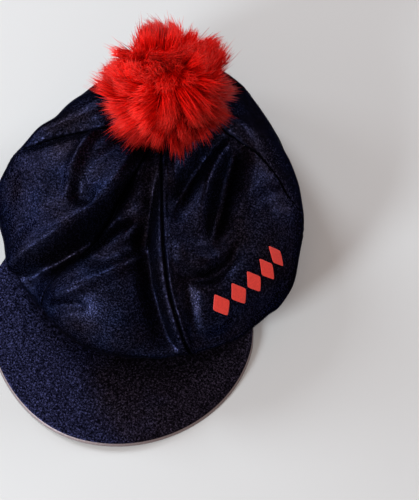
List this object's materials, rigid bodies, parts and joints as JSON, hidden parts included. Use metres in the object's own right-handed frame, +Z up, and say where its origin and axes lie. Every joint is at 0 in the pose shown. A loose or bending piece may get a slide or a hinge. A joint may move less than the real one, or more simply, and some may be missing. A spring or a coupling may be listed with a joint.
{
  "type": "jockey cap cover with a fur pompom",
  "caption": "Soft navy jockey cap cover with a panelled slouched crown, a crescent peak, an elastic hem and a red fur pompom, lying as it rests on a table.",
  "frame": {"origin": "on the table, under the middle of the cap's whole box", "axes": "+Z up, the peak towards -Y, the wearer's left at +X"},
  "size_m": [0.2372, 0.3122, 0.1678],
  "materials": {
    "satin_cloth": "navy stretch satin with a soft blue sheen and a fine grain",
    "peak_cloth": "navy cloth stretched flat over a stiffener, matte with fine specks",
    "pompom_fur": "red long-pile fake fur, darker at the roots and paler at the tips",
    "mark_film": "red heat-pressed film, matte",
    "stud_steel": "plain steel, hidden"
  },
  "bodies": {
    "root": {"panel_front": "satin_cloth", "panel_front_right": "satin_cloth", "panel_back_right": "satin_cloth", "panel_back": "satin_cloth", "panel_back_left": "satin_cloth", "panel_front_left": "satin_cloth", "elastic_hem": "satin_cloth", "peak": "peak_cloth", "pompom_stud": "stud_steel", "pompom": "pompom_fur", "mark_1": "mark_film", "mark_2": "mark_film", "mark_3": "mark_film", "mark_4": "mark_film", "mark_5": "mark_film"}
  },
  "joints": []
}
